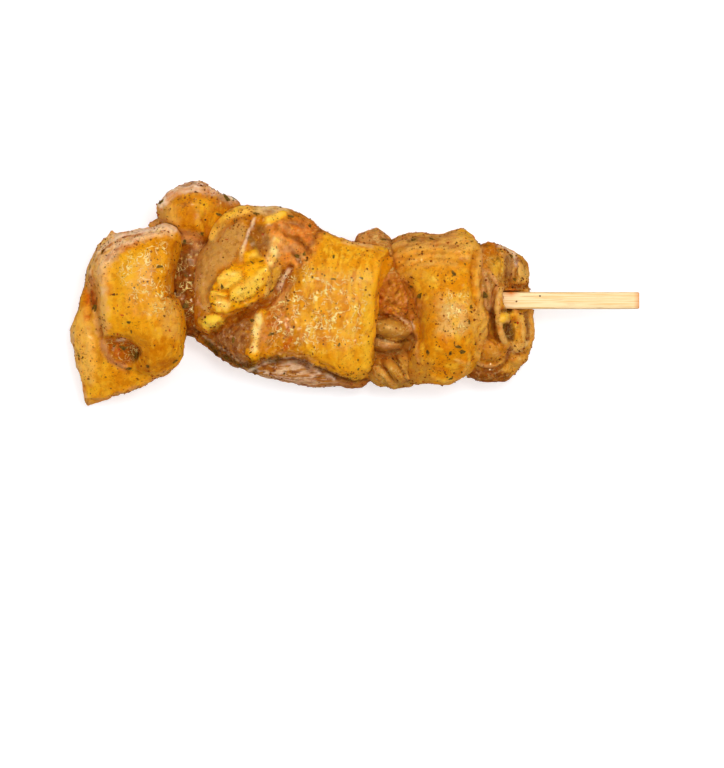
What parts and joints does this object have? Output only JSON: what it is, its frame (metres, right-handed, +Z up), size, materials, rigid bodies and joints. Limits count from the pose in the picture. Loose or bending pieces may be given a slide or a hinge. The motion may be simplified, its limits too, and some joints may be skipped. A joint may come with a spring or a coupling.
{
  "type": "chicken kebab skewer",
  "caption": "Raw marinated chicken kebab: folded pieces of thigh meat pushed together on a square wooden stick, speckled with dried herbs and ground pepper.",
  "frame": {"origin": "on the table under the middle of the kebab's box", "axes": "+X along the stick towards its bare end, +Z up from the table, +Y towards the side where the small nub of meat stands out"},
  "size_m": [0.1662, 0.0656, 0.0305],
  "materials": {
    "stick_wood": "bare pale wood, lightly stained by the marinade",
    "marinated_meat": "wet, oily turmeric marinade over raw poultry, slightly translucent",
    "dried_herbs": "dry crumbled leaf, wetted by the marinade"
  },
  "bodies": {
    "root": {"stick": "stick_wood", "end_slab": "marinated_meat", "nub": "marinated_meat", "fatty_slab": "marinated_meat", "curled_piece": "marinated_meat", "domed_piece": "marinated_meat", "tip_cluster": "marinated_meat"}
  },
  "joints": []
}
